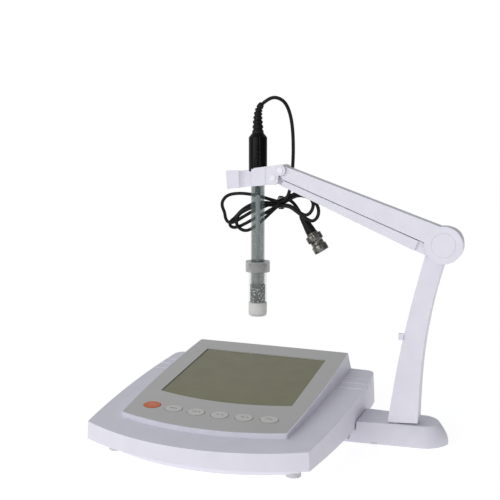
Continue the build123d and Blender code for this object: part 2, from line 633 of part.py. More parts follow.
upper_arm -= ycyl(HUB_X, HUB_Z, CAP_RECESS_R + 0.1, 0, ARM_FRONT_Y + CAP_RECESS)
upper_arm -= ycyl(HUB_X, HUB_Z, 4.4, 0, ARM_FRONT_Y + 2.6)
upper_arm -= ycyl(PIN_X, PIN_Z, PIN_R + 0.05, 0, 30)
save(upper_arm, "upper_arm")

save(ycyl(HUB_X, HUB_Z, CAP_RECESS_R, ARM_FRONT_Y - 0.1, ARM_FRONT_Y + CAP_RECESS - 0.1), "hub_cap")
bolt = ycyl(HUB_X, HUB_Z, 4.1, ARM_FRONT_Y + 1.4, ARM_FRONT_Y + 2.55)
bolt += ycyl(HUB_X, HUB_Z, BOLT_R, ARM_FRONT_Y + 2.5, COLUMN_REAR_Y + 3.4)
save(bolt, "pivot_bolt")
FRICTION_R = 5.6
friction = ycyl(HUB_X, HUB_Z, FRICTION_R, ARM_REAR_Y + 0.05, COLUMN_FRONT_Y)
friction -= ycyl(HUB_X, HUB_Z, BOLT_R + 0.1, 0, 30)
save(friction, "friction_washer")
pivot_nut_place = Plane(origin=(HUB_X, COLUMN_REAR_Y, HUB_Z), x_dir=(1, 0, 0), z_dir=(0, 1, 0))
pivot_nut = pivot_nut_place * extrude(RegularPolygon(5.0, 6), amount=3.2)
pivot_nut -= ycyl(HUB_X, HUB_Z, BOLT_R, 0, 60)
save(pivot_nut, "pivot_nut")

LINK_TOP = 3.4
BAR_FRONT_Y, BAR_REAR_Y = 8.4, 19.6
BAR_TOP_LEFT, BAR_TOP_RIGHT, BAR_FROM, BAR_SHORT = 1.1, 3.4, 9.0, 16.0
LINK_LOW_LEFT, LINK_LOW_RIGHT = -3.7, -5.2
LINK_EYE_R = 3.9


def link_point(along, across):
    """A point measured from the lower head pin along the link and square to it."""
    return arm_point(along, across, LOW_X, LOW_Z)


link_outline = [
    link_point(0, LINK_TOP),
    link_point(ARM_LENGTH, LINK_TOP),
    link_point(ARM_LENGTH, -LINK_EYE_R),
    link_point(ARM_LENGTH - 7, LINK_LOW_RIGHT),
    link_point(8, LINK_LOW_LEFT),
    link_point(0, -LINK_EYE_R + 0.4),
]
bar_outline = [
    link_point(BAR_FROM, BAR_TOP_LEFT),
    link_point(ARM_LENGTH - BAR_SHORT, BAR_TOP_RIGHT),
    link_point(ARM_LENGTH - BAR_SHORT, LINK_LOW_RIGHT),
    link_point(BAR_FROM, LINK_LOW_LEFT),
]
lower_link = poly_xz(link_outline, LINK_FRONT_Y, LINK_REAR_Y)
lower_link += poly_xz(bar_outline, BAR_FRONT_Y, BAR_REAR_Y)
for ex, ez in ((LOW_X, LOW_Z), (LINK_X, LINK_Z)):
    lower_link += ycyl(ex, ez, LINK_EYE_R, LINK_FRONT_Y, LINK_REAR_Y)
lower_link -= ycyl(LINK_X, LINK_Z, PIN_R + 0.05, 0, 30)
lower_link -= ycyl(LOW_X, LOW_Z, PIN_R + 0.35, 0, 30)
save(lower_link, "lower_link")
link_pin = ycyl(LINK_X, LINK_Z, PIN_R, LINK_FRONT_Y - 0.2, COLUMN_REAR_Y + 0.4)
save(link_pin, "link_pin")

# ======== clamp head ========
HEAD_BLOCK_RIGHT = 27.4
CHEEK_T = 2.6


def head_top(x):
    """Height of the head's sloping top edge."""
    return 230.0 + max(0.0, x - 1.5) * 0.138


def head_low(x):
    """Height of the head's sloping bottom edge."""
    return 214.3 + (x + 9.6) * 0.112


tab = poly_xz(
    [(-10.9, 230.1), (1.8, head_top(1.8)), (1.8, head_low(1.8)), (-9.6, 214.2)],
    HEAD_FRONT_Y + 0.6,
    HEAD_FRONT_Y + 5.0,
)
body = poly_xz(
    [(1.6, head_top(1.6)), (14.4, head_top(14.4)), (14.4, head_low(14.4)), (1.6, head_low(1.6))],
    HEAD_FRONT_Y,
    HEAD_FRONT_Y + 9.5,
)
core = poly_xz(
    [
        (8.0, head_top(8.0)),
        (14.3, head_top(14.4)),
        (15.4, head_top(15.4) + 0.6),
        (HEAD_BLOCK_RIGHT, head_top(HEAD_BLOCK_RIGHT) + 0.6),
        (HEAD_BLOCK_RIGHT, head_low(HEAD_BLOCK_RIGHT)),
        (8.0, head_low(8.0)),
    ],
    HEAD_FRONT_Y,
    HEAD_REAR_Y,
)
clamp_head = tab + body + core
CHEEK_RIGHT, LUG_R = 36.8, 4.6
cheek_outline = [
    (HEAD_BLOCK_RIGHT - 1, head_top(HEAD_BLOCK_RIGHT) + 0.5),
    (PIN_X, PIN_Z + LUG_R),
    (PIN_X, PIN_Z - LUG_R + 1),
    (CHEEK_RIGHT, PIN_Z - LUG_R + 0.6),
    (CHEEK_RIGHT, 220.8),
    (CHEEK_RIGHT - 2.4, 218.6),
    (HEAD_BLOCK_RIGHT - 1, head_low(HEAD_BLOCK_RIGHT)),
]
for y0 in (HEAD_FRONT_Y, HEAD_REAR_Y - CHEEK_T):
    clamp_head += poly_xz(cheek_outline, y0, y0 + CHEEK_T)
    clamp_head += ycyl(PIN_X, PIN_Z, LUG_R, y0, y0 + CHEEK_T)
SPARE_X, SPARE_Y, SPARE_R = 7.1, 1.5, 7.15     # a probe this wide still clears the cap
clamp_head -= zcyl(SPARE_X, SPARE_Y, SPARE_R, 200, 250)
BAND_X, BAND_R, BAND_DEPTH = 26.6, 1.7, 0.6
clamp_head -= zcyl(BAND_X, HEAD_FRONT_Y - BAND_R + BAND_DEPTH, BAND_R, 200, 250)
clamp_head -= zcyl(ELECTRODE_X, ELECTRODE_Y, TUBE_R + 0.05, 200, 250)
clamp_head -= zcyl(ELECTRODE_X, ELECTRODE_Y, CAP_R + 0.4, CAP_BOTTOM_Z - 0.3, 250)
CLIP_SLOT = 8.4
clamp_head -= block(ELECTRODE_X - CLIP_SLOT / 2, ELECTRODE_X + CLIP_SLOT / 2, ELECTRODE_Y, 30, 200, 250)
clamp_head -= ycyl(PIN_X, PIN_Z, PIN_R + 0.02, 0, 30)
clamp_head -= ycyl(LOW_X, LOW_Z, PIN_R + 0.02, 0, 30)
save(clamp_head, "clamp_head")


def head_pin(px, pz):
    """A shouldered pin through both cheeks."""
    pin = ycyl(px, pz, PIN_R, HEAD_FRONT_Y, HEAD_REAR_Y)
    pin += ycyl(px, pz, 2.5, HEAD_FRONT_Y - 0.6, HEAD_FRONT_Y)
    return pin + ycyl(px, pz, 2.5, HEAD_REAR_Y, HEAD_REAR_Y + 0.6)


save(head_pin(PIN_X, PIN_Z), "upper_head_pin")
save(head_pin(LOW_X, LOW_Z), "lower_head_pin")

# ======== electrode ========
EX, EY = ELECTRODE_X, ELECTRODE_Y
cap_body = zcyl(EX, EY, CAP_R, CAP_BOTTOM_Z, CAP_TOP_Z - 3.5)
cap_shoulder = Pos(EX, EY, CAP_TOP_Z - 3.5) * Cone(
    CAP_R, 5.0, 3.5, align=(Align.CENTER, Align.CENTER, Align.MIN)
)
cap = cap_body + cap_shoulder
TUBE_IN_CAP = 14.0
cap -= zcyl(EX, EY, TUBE_R, CAP_BOTTOM_Z - 1, CAP_BOTTOM_Z + TUBE_IN_CAP)
save(cap, "electrode_cap")

GLASS_WALL = 0.9
tube = zcyl(EX, EY, TUBE_R, TUBE_TIP_Z, CAP_BOTTOM_Z + TUBE_IN_CAP)
tube -= zcyl(EX, EY, TUBE_R - GLASS_WALL, TUBE_TIP_Z - 1, CAP_BOTTOM_Z + TUBE_IN_CAP + 1)
save(tube, "electrode_tube")
INNER_R, STEM_R, INNER_WALL = 2.0, 1.6, 0.5
INNER_STEP_Z, ELEMENT_Z, INNER_TOP_Z = 174.4, 208.8, CAP_BOTTOM_Z + TUBE_IN_CAP
inner_tube = zcyl(EX, EY, STEM_R, TUBE_TIP_Z + 3, INNER_STEP_Z)
inner_tube += zcyl(EX, EY, INNER_R, INNER_STEP_Z, ELEMENT_Z)
inner_tube -= zcyl(EX, EY, STEM_R - INNER_WALL, TUBE_TIP_Z + 2, ELEMENT_Z + 1)
save(inner_tube, "inner_tube")
wire = zcyl(EX, EY, 0.5, TUBE_TIP_Z + 8, ELEMENT_Z) + zcyl(EX, EY, INNER_R + 0.4, ELEMENT_Z, INNER_TOP_Z)
save(wire, "inner_element")
seal = zcyl(EX, EY, TUBE_R - GLASS_WALL, TUBE_TIP_Z, TUBE_TIP_Z + 3)
save(seal, "tube_seal")
bulb = zcyl(EX, EY, 1.8, TUBE_TIP_Z - 3, TUBE_TIP_Z) + Pos(EX, EY, TUBE_TIP_Z - 5.5) * Sphere(3.4)
bulb = bulb - block(EX - 9, EX + 9, EY - 9, EY + 9, TUBE_TIP_Z, TUBE_TIP_Z + 9)
save(bulb, "sensor_bulb")

# ======== storage vial ========
vial = zcyl(EX, EY, VIAL_R, VIAL_BOTTOM_Z, COLLAR_BOTTOM_Z)
vial += zcyl(EX, EY, VIAL_R - 0.6, COLLAR_BOTTOM_Z, COLLAR_BOTTOM_Z + 6)
vial -= zcyl(EX, EY, VIAL_R - 1.6, LIQUID_BOTTOM_Z, COLLAR_BOTTOM_Z + 10)
save(vial, "storage_vial")
liquid = zcyl(EX, EY, VIAL_R - 1.65, LIQUID_BOTTOM_Z + 0.05, LIQUID_TOP_Z)
liquid -= zcyl(EX, EY, TUBE_R + 0.1, TUBE_TIP_Z - 0.1, 140)
liquid -= Pos(EX, EY, TUBE_TIP_Z - 5.5) * Sphere(3.5) + zcyl(EX, EY, 3.5, TUBE_TIP_Z - 5.5, TUBE_TIP_Z)
save(liquid, "vial_liquid")
vial_cap = zcyl(EX, EY, COLLAR_R, COLLAR_BOTTOM_Z, COLLAR_TOP_Z)
vial_cap -= zcyl(EX, EY, VIAL_R - 0.6, COLLAR_BOTTOM_Z - 1, COLLAR_BOTTOM_Z + 6.05)
vial_cap -= zcyl(EX, EY, TUBE_R + 0.1, 130, 160)
save(vial_cap, "vial_cap")

# ======== strain relief and cable ========
BOOT_TOP = (19.3, 14.0, 286.3)
LEAD_ROUTE = [
    BOOT_TOP,
    (25.8, 14.6, 291.8),
    (34.0, 16.2, 291.6),
    (40.6, 18.2, 285.6),
    (44.2, 21.5, 270.0),
    (43.5, 27.0, 243.0),
    (41.0, 28.5, 218.0),
    (37.5, 29.0, 205.5),
]
TAIL_ROUTE = [
    (35.6, 36.4, 204.8),
    (39.2, 40.6, 201.2),
    (42.5, 43.0, 195.8),
    (45.6, 43.0, 190.8),
]


def tube_along(route, diameter, name):
    """A cable's tube: straight runs joined by arcs as large as the runs allow."""
    points = [Vector(*point) for point in route]
    runs = [after - before for before, after in zip(points, points[1:])]
    radii = []
    for before, after in zip(runs, runs[1:]):
        turn = before.get_angle(after)
        radii.append(0.45 * min(before.length, after.length) / tan(radians(turn / 2)))
    path = FilletPolyline(*route, radius=radii)
    print(name, "length", round(path.length, 1), "radii", [round(radius, 1) for radius in radii])
    start = Plane(origin=points[0], z_dir=runs[0].normalized())
    return sweep(start * Circle(diameter / 2), path=path)


boot_start = Vector(EX, EY, CAP_TOP_Z)
boot_end = Vector(*BOOT_TOP)
lead_dir = (Vector(*LEAD_ROUTE[1]) - boot_end).normalized()
BOOT_STEPS = [(0.0, 4.6), (0.34, 3.9), (0.68, 3.2), (1.0, 2.5)]


def bend_place(start, start_dir, end, end_dir, t):
    """A plane across a smooth bend from start to end."""
    reach = (end - start).length
    bend = Bezier(start, start + start_dir * reach * 0.45, end - end_dir * reach * 0.25, end)
    return Plane(origin=bend.position_at(t), z_dir=bend.tangent_at(t))


boot_sections = [
    bend_place(boot_start, Vector(0, 0, 1), boot_end, lead_dir, t) * Circle(r) for t, r in BOOT_STEPS
]
strain_relief = loft(boot_sections)
save(strain_relief, "strain_relief")
save(tube_along(LEAD_ROUTE, CABLE_D, "cable_lead"), "cable_lead")

HANK_Y0, HANK_Y1 = 25.0, 37.0
hank_outline = [
    (26.0, 206.5),
    (14.0, 209.5),
    (-4.0, 212.0),
    (-19.0, 211.0),
    (-26.5, 204.5),
    (-27.0, 194.0),
    (-27.5, 183.0),
    (-22.0, 180.0),
    (-14.0, 178.5),
    (-8.0, 173.6),
    (2.0, 174.0),
    (14.0, 183.0),
    (26.0, 196.5),
    (36.0, 197.0),
    (46.0, 190.0),
    (56.0, 182.5),
    (64.0, 183.0),
    (67.5, 191.0),
    (64.0, 201.0),
    (54.0, 210.5),
    (46.0, 212.5),
    (36.0, 207.0),
]
cable_hank = poly_xz(hank_outline, HANK_Y0, HANK_Y1)
tie_outer = block(28.0, 34.0, HANK_Y0 - 0.8, HANK_Y1 + 0.8, 195.6, 208.2)
cable_tie = tie_outer - cable_hank
save(cable_hank, "cable_hank")
save(cable_tie, "cable_tie")
save(tube_along(TAIL_ROUTE, CABLE_D, "cable_tail"), "cable_tail")

plug_start = Vector(*TAIL_ROUTE[-1])
plug_dir = (plug_start - Vector(*TAIL_ROUTE[-2])).normalized()


def plug_place(reach):
    """A plane across the plug, a distance along it from the cable."""
    return Plane(origin=plug_start + plug_dir * reach, z_dir=plug_dir)


def plug_round(r0, r1, start, end):
    """A round piece of the plug between two distances, straight or tapered."""
    if abs(r0 - r1) < 0.001:
        solid = Cylinder(r0, end - start, align=(Align.CENTER, Align.CENTER, Align.MIN))
    else:
        solid = Cone(r0, r1, end - start, align=(Align.CENTER, Align.CENTER, Align.MIN))
    return plug_place(start) * solid


PLUG_BOOT, PLUG_BACK, PLUG_NECK, PLUG_RIM, PLUG_END = 19.0, 20.4, 27.0, 31.0, 37.5
GRIP_R, NECK_R, RIM_R, BARREL_R = 7.2, 5.8, 6.9, 4.0
save(plug_round(2.6, 4.7, 0, PLUG_BOOT), "plug_boot")
plug_body = plug_round(5.2, 5.2, PLUG_BOOT, PLUG_BACK)
plug_body += plug_round(BARREL_R, BARREL_R, PLUG_BACK, PLUG_END - 1.5)
plug_body -= plug_round(BARREL_R - 0.8, BARREL_R - 0.8, PLUG_BACK + 2, PLUG_END + 2)
plug_body += plug_round(0.7, 0.7, PLUG_BACK + 1.9, PLUG_END - 2.5)
save(plug_body, "plug_body")
plug_ring = plug_round(GRIP_R, GRIP_R, PLUG_BACK + 0.2, PLUG_NECK)
plug_ring += plug_round(NECK_R, NECK_R, PLUG_NECK, PLUG_RIM)
plug_ring += plug_round(RIM_R, RIM_R, PLUG_RIM, PLUG_END)
plug_ring -= plug_round(4.9, 4.9, PLUG_BACK + 1.8, PLUG_END + 1)
plug_ring -= plug_round(BARREL_R + 0.05, BARREL_R + 0.05, PLUG_BACK, PLUG_END + 1)
save(plug_ring, "plug_ring")

for name, shape in NODES.items():
    box = shape.bounding_box()
    size = box.size
    print(f"{name:20s} {size.X:7.1f} {size.Y:7.1f} {size.Z:7.1f}  z {box.min.Z:6.1f} {box.max.Z:6.1f}")
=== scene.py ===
"""Bench pH meter with its electrode stand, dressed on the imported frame. Metres, the frame's own axes."""
import math

import bmesh
import bpy
from mathutils import Matrix, Vector


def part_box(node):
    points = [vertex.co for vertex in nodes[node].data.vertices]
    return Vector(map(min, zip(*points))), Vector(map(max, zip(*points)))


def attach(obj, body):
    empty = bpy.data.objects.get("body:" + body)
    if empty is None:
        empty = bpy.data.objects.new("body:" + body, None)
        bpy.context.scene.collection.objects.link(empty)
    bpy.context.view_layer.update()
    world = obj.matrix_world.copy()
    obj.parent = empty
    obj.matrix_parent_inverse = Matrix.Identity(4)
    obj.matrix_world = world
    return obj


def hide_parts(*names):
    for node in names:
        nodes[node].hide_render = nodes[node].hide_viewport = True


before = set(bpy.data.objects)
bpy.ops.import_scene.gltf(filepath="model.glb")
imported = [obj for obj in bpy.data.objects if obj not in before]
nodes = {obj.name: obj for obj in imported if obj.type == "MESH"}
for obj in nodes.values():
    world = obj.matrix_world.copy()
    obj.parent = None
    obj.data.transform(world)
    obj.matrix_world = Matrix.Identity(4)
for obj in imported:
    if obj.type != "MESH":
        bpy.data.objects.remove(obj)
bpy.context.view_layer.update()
scene = bpy.context.scene
MM = 0.001

# The meter's own frame, in millimetres: its middle on x = 0 and its housing from y -112 to 100.
housing_low, housing_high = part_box("upper_housing")
MID_X = (housing_low.x + housing_high.x) / 2
MID_Y = (housing_low.y + housing_high.y) / 2 + 6.0 * MM


def at(x, y, z):
    """A point given in the meter's own millimetres, in the frame."""
    return Vector((MID_X + x * MM, MID_Y + y * MM, z * MM))


# ---- camera ----
CAMERA_PLACE = (265.0, -649.8, 255.9)
CAMERA_YAW, CAMERA_PITCH, CAMERA_LENS = 21.14, -7.6, 59.2
camera_data = bpy.data.cameras.new("camera")
camera_data.lens = CAMERA_LENS
camera_data.sensor_width = 36.0
camera_data.clip_start = 0.01
camera = bpy.data.objects.new("camera", camera_data)
camera.location = at(*CAMERA_PLACE)
camera.rotation_euler = (math.radians(90 + CAMERA_PITCH), 0, math.radians(CAMERA_YAW))
scene.collection.objects.link(camera)
scene.camera = camera
scene.view_settings.view_transform = "Standard"


# ---- materials ----
def new_material(name):
    """A material with its Principled shader, ready for textures."""
    material = bpy.data.materials.new(name)
    material.use_nodes = True
    return material, material.node_tree, material.node_tree.nodes["Principled BSDF"]


def noise(tree, scale, detail=3.0):
    """A noise texture fixed to the object, scale in features per metre."""
    where = tree.nodes.new("ShaderNodeTexCoord")
    texture = tree.nodes.new("ShaderNodeTexNoise")
    texture.inputs["Scale"].default_value = scale
    texture.inputs["Detail"].default_value = detail
    tree.links.new(where.outputs["Object"], texture.inputs["Vector"])
    return texture.outputs["Fac"]


def ramp(tree, source, stops):
    """A colour ramp over a texture, stops as (place, colour)."""
    node = tree.nodes.new("ShaderNodeValToRGB")
    elements = node.color_ramp.elements
    for index, (place, colour) in enumerate(stops):
        element = elements[index] if index < 2 else elements.new(place)
        element.position = place
        element.color = (*colour, 1.0)
    tree.links.new(source, node.inputs["Fac"])
    return node.outputs["Color"]


def bump(tree, shader, source, strength, distance):
    """Relief on a shader from a texture."""
    node = tree.nodes.new("ShaderNodeBump")
    node.inputs["Strength"].default_value = strength
    node.inputs["Distance"].default_value = distance
    tree.links.new(source, node.inputs["Height"])
    tree.links.new(node.outputs["Normal"], shader.inputs["Normal"])


def spread(tree, source, low, high):
    """A texture's value spread over a range."""
    node = tree.nodes.new("ShaderNodeMapRange")
    node.inputs["From Min"].default_value = 0.3
    node.inputs["From Max"].default_value = 0.7
    node.inputs["To Min"].default_value = low
    node.inputs["To Max"].default_value = high
    tree.links.new(source, node.inputs["Value"])
    return node.outputs["Result"]


def shade(colour, factor):
    """A colour made lighter or darker."""
    return tuple(min(1.0, channel * factor) for channel in colour)


def surface(name, colour, rough, grain=1800.0, relief=0.08, depth=0.00006, vary=0.03, **fixed):
    """A moulded or machined surface: soft colour drift, uneven gloss and a fine grain."""
    material, tree, shader = new_material(name)
    drift = noise(tree, 60.0)
    fine = noise(tree, grain, 2.0)
    colours = [(0.3, shade(colour, 1 - vary)), (0.7, shade(colour, 1 + vary))]
    tree.links.new(ramp(tree, drift, colours), shader.inputs["Base Color"])
    tree.links.new(spread(tree, drift, rough * 0.9, rough * 1.1), shader.inputs["Roughness"])
    bump(tree, shader, fine, relief, depth)
    for socket, value in fixed.items():
        shader.inputs[socket.replace("_", " ")].default_value = value
    return material


HOUSING = (0.70, 0.69, 0.77)
housing_plastic = surface("housing_plastic", HOUSING, 0.42, IOR=1.46)
# Painted shade: the swivel washer in the gap under the column gets the housing colour darkened to 0.82,
# standing in for the shadow in that gap.
washer_shade_plastic = surface("washer_shade_plastic", shade(HOUSING, 0.82), 0.5, IOR=1.46)
pin_plastic = surface("pin_plastic", (0.80, 0.80, 0.84), 0.35, IOR=1.46)
panel_silver = surface(
    "panel_silver", (0.45, 0.45, 0.435), 0.32, 5200.0, 0.04, 0.00002, 0.02, Metallic=0.25,
    Coat_Weight=0.35, Coat_Roughness=0.06,
)
board_green = surface("board_green", (0.03, 0.16, 0.06), 0.4)
chip_black = surface("chip_black", (0.02, 0.02, 0.02), 0.5)
key_orange = surface("key_orange", (0.62, 0.115, 0.015), 0.34, 2400.0, 0.05)
key_white = surface("key_white", (0.57, 0.57, 0.545), 0.34, 2400.0, 0.05)
foot_rubber = surface("foot_rubber", (0.55, 0.55, 0.57), 0.75, 900.0, 0.3, 0.0002)
seal_black = surface("seal_black", (0.03, 0.03, 0.032), 0.75, 900.0, 0.3, 0.0002)
steel = surface("steel", (0.55, 0.55, 0.57), 0.32, 2600.0, 0.1, Metallic=1.0)
nickel = surface("nickel", (0.17, 0.165, 0.15), 0.22, 1500.0, 0.12, 0.0001, 0.08, Metallic=1.0)
socket_black = surface("socket_black", (0.015, 0.015, 0.016), 0.4)
cable_black = surface(
    "cable_black", (0.004, 0.004, 0.004), 0.42, 1500.0, 0.2, 0.0001, 0.1, Specular_IOR_Level=0.2,
)
boot_black = surface(
    "boot_black", (0.004, 0.004, 0.004), 0.5, 1500.0, 0.25, 0.0001, 0.1, Specular_IOR_Level=0.2,
)
cap_black = surface("cap_black", (0.002, 0.002, 0.002), 0.10, 900.0, 0.02, Specular_IOR_Level=0.12)
element_dark = surface("element_dark", (0.008, 0.008, 0.009), 0.4)
lcd_white = surface("lcd_white", (0.75, 0.75, 0.75), 0.5)
mark_dark = surface("mark_dark", (0.06, 0.06, 0.06), 0.5)
mark_light = surface("mark_light", (0.75, 0.45, 0.32), 0.5)


def clear(name, colour, rough, alpha, **fixed):
    """A clear or smoky wall, seen through by its alpha."""
    material = surface(name, colour, rough, 700.0, 0.02, 0.00005, 0.05, **fixed)
    material.node_tree.nodes["Principled BSDF"].inputs["Alpha"].default_value = alpha
    return material


window_clear = clear("window_clear", (0.245, 0.24, 0.135), 0.05, 0.74, IOR=1.5)
tube_clear = clear("tube_clear", (0.06, 0.10, 0.095), 0.10, 0.36, IOR=1.5)
inner_clear = clear("inner_clear", (0.92, 0.97, 0.97), 0.10, 0.97, IOR=1.5)
seal_clear = clear("seal_clear", (0.25, 0.30, 0.30), 0.2, 0.8, IOR=1.5)
bulb_clear = clear("bulb_clear", (0.45, 0.55, 0.55), 0.05, 0.45, IOR=1.5)
vial_clear = clear("vial_clear", (0.46, 0.46, 0.45), 0.08, 0.13, IOR=1.49)
vial_foot_grey = surface("vial_foot_grey", (0.66, 0.66, 0.645), 0.25)
vial_grey = clear("vial_grey", (0.37, 0.37, 0.365), 0.30, 0.66, IOR=1.49)


def display_material():
    """The unlit display: olive with faint streaks along its rows."""
    material, tree, shader = new_material("lcd_olive")
    where = tree.nodes.new("ShaderNodeTexCoord")
    stretch = tree.nodes.new("ShaderNodeMapping")
    stretch.inputs["Scale"].default_value = (6.0, 90.0, 90.0)
    streak = tree.nodes.new("ShaderNodeTexNoise")
    streak.inputs["Scale"].default_value = 1.0
    tree.links.new(where.outputs["Object"], stretch.inputs["Vector"])
    tree.links.new(stretch.outputs["Vector"], streak.inputs["Vector"])
    olive = [(0.3, (0.205, 0.200, 0.115)), (0.7, (0.235, 0.228, 0.135))]
    tree.links.new(ramp(tree, streak.outputs["Fac"], olive), shader.inputs["Base Color"])
    shader.inputs["Roughness"].default_value = 0.35
    return material


def liquid_material():
    """Dark storage liquid with pale crystals on the wall."""
    material, tree, shader = new_material("liquid_dark")
    where = tree.nodes.new("ShaderNodeTexCoord")
    cells = tree.nodes.new("ShaderNodeTexVoronoi")
    cells.inputs["Scale"].default_value = 620.0
    tree.links.new(where.outputs["Object"], cells.inputs["Vector"])
    speck = [(0.22, (0.80, 0.86, 0.86)), (0.38, (0.02, 0.03, 0.035)), (0.8, (0.004, 0.006, 0.007))]
    tree.links.new(ramp(tree, cells.outputs["Distance"], speck), shader.inputs["Base Color"])
    shader.inputs["Roughness"].default_value = 0.2
    bump(tree, shader, cells.outputs["Distance"], 0.3, 0.0003)
    return material


lcd_olive = display_material()
liquid_dark = liquid_material()

FINISH = {
    housing_plastic: "upper_housing lower_housing stand_base column upper_arm clamp_head hub_cap cable_clip "
    "lower_link",
    washer_shade_plastic: "swivel_washer",
    pin_plastic: "upper_head_pin lower_head_pin",
    panel_silver: "display_panel",
    window_clear: "lcd_window",
    lcd_olive: "lcd_glass",
    lcd_white: "lcd_backlight",
    board_green: "main_board",
    chip_black: "board_components key_switches",
    key_orange: "key_power",
    key_white: "key_1 key_2 key_3 key_4 key_5",
    foot_rubber: "rubber_feet base_pads friction_washer",
    steel: "housing_screws board_screws link_plate plate_screws base_weight swivel_shaft shaft_collar "
    "pivot_bolt pivot_nut link_pin",
    nickel: "measuring_socket socket_nut plug_body plug_ring",
    socket_black: "rear_plate temperature_socket power_socket",
    cable_black: "cable_lead cable_hank cable_tie cable_tail",
    boot_black: "plug_boot strain_relief",
    cap_black: "electrode_cap",
    tube_clear: "electrode_tube",
    inner_clear: "inner_tube",
    seal_clear: "tube_seal",
    bulb_clear: "sensor_bulb",
    element_dark: "inner_element",
    vial_clear: "storage_vial",
    vial_grey: "vial_cap",
    liquid_dark: "vial_liquid",
}


def paint(piece, material):
    """The piece's only material."""
    piece.data.materials.clear()
    piece.data.materials.append(material)


for material, names in FINISH.items():
    for name in names.split():
        paint(nodes[name], material)

# Moulded edges are eased; the sizes stay the CAD's.
EDGE_EASE = {
    "upper_housing": 0.5, "lower_housing": 0.5, "stand_base": 0.5, "column": 0.5, "upper_arm": 0.3,
    "lower_link": 0.3, "clamp_head": 0.3, "hub_cap": 0.15, "key_power": 0.25,
    "key_1": 0.25, "key_2": 0.25, "key_3": 0.25, "key_4": 0.25, "key_5": 0.25, "electrode_cap": 0.4,
    "vial_cap": 0.4, "storage_vial": 0.4,
}
EASED_FROM = math.radians(35)
for name, width in EDGE_EASE.items():
    ease = nodes[name].modifiers.new("ease", "BEVEL")
    ease.width = width * MM
    ease.segments = 2
    ease.limit_method = "ANGLE"
    ease.angle_limit = EASED_FROM
    ease.harden_normals = True


# ---- mesh helpers ----
def mesh_piece(name, bm, material, body, smooth=True):
    """A finished mesh that rides on a body."""
    mesh = bpy.data.meshes.new(name)
    bmesh.ops.recalc_face_normals(bm, faces=bm.faces)
    bm.to_mesh(mesh)
    bm.free()
    for polygon in mesh.polygons:
        polygon.use_smooth = smooth
    piece = bpy.data.objects.new(name, mesh)
    scene.collection.objects.link(piece)
    paint(piece, material)
    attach(piece, body)
    return piece


def rings_mesh(rings, hollow=False):
    """A skin over rings of points: capped at both ends, or hollow, with the last ring joined to the first."""
    bm = bmesh.new()
    loops = [[bm.verts.new(point) for point in ring] for ring in rings]
    following = loops[1:] + loops[:1] if hollow else loops[1:]
    for near, far in zip(loops, following):
        for index in range(len(near)):
            after = (index + 1) % len(near)
            bm.faces.new((near[index], near[after], far[after], far[index]))
    if not hollow:
        bm.faces.new(loops[0])
        bm.faces.new(loops[-1])
    return bm


def ring_points(centre, axis, radius, sides=40, wave=None):
    """Points on a circle square to an axis; wave changes the radius with the angle."""
    across = axis.orthogonal().normalized()
    third = axis.cross(across).normalized()
    points = []
    for index in range(sides):
        angle = 2 * math.pi * index / sides
        r = radius + (wave(angle) if wave else 0.0)
        points.append(centre + across * (r * math.cos(angle)) + third * (r * math.sin(angle)))
    return points


def turned(name, start, axis, profile, material, body, sides=40, wave=None, waved=(), hollow=False):
    """A piece turned about an axis from a profile of (reach, radius) in millimetres."""
    rings = []
    for index, (reach, radius) in enumerate(profile):
        ripple = wave if index in waved else None
        rings.append(ring_points(start + axis * reach * MM, axis, radius * MM, sides, ripple))
    return mesh_piece(name, rings_mesh(rings, hollow), material, body)


# ---- cable ----
CABLE_D = 3.0 * MM
BOOT_TOP = (19.3, 14.0, 286.3)
LEAD = [
    BOOT_TOP, (25.8, 14.6, 291.8), (34.0, 16.2, 291.6), (40.6, 18.2, 285.6), (44.2, 21.5, 270.0),
    (43.5, 27.0, 243.0), (41.0, 28.5, 218.0), (37.5, 29.0, 205.5),
]
FIRST_LEFT = [
    (31.0, 27.2, 202.6), (23.0, 27.4, 204.4), (13.0, 28.0, 206.9), (2.7, 28.6, 208.8), (-8.2, 28.8, 209.4),
    (-18.8, 29.0, 207.7), (-24.0, 29.0, 202.4), (-24.6, 29.2, 197.2), (-21.9, 29.4, 191.4),
    (-21.6, 29.8, 186.4), (-19.2, 30.6, 182.4), (-13.6, 31.4, 182.8), (-5.0, 32.4, 188.2),
    (4.0, 33.6, 193.6), (18.0, 34.4, 199.2), (27.0, 34.6, 202.4),
]
FIRST_RIGHT = [
    (37.3, 30.6, 207.0), (42.5, 30.4, 209.4), (46.7, 30.2, 211.0), (54.0, 30.0, 209.4), (59.2, 30.0, 205.6),
    (61.1, 29.8, 200.2), (58.8, 29.4, 194.0), (54.2, 28.8, 191.0), (48.0, 28.0, 194.4), (39.4, 27.4, 200.6),
]
SECOND_LEFT = [
    (31.5, 27.0, 199.2), (23.0, 27.2, 199.8), (13.0, 27.6, 199.4), (2.8, 28.4, 196.4), (-6.6, 29.4, 192.0),
    (-11.4, 30.6, 186.4), (-11.4, 32.0, 180.2), (-7.4, 33.0, 176.0), (-1.6, 33.6, 175.4), (5.0, 33.8, 179.2),
    (13.4, 33.6, 186.0), (21.4, 33.0, 193.4), (27.4, 32.0, 198.6),
]
SECOND_RIGHT = [
    (38.0, 31.4, 204.5), (45.0, 31.6, 208.4), (52.5, 32.0, 208.2), (60.0, 32.6, 204.8), (64.7, 33.2, 198.0),
    (64.2, 33.6, 190.4), (59.6, 34.0, 185.8), (54.0, 34.4, 187.4), (46.4, 34.6, 192.4), (38.0, 34.6, 198.2),
]
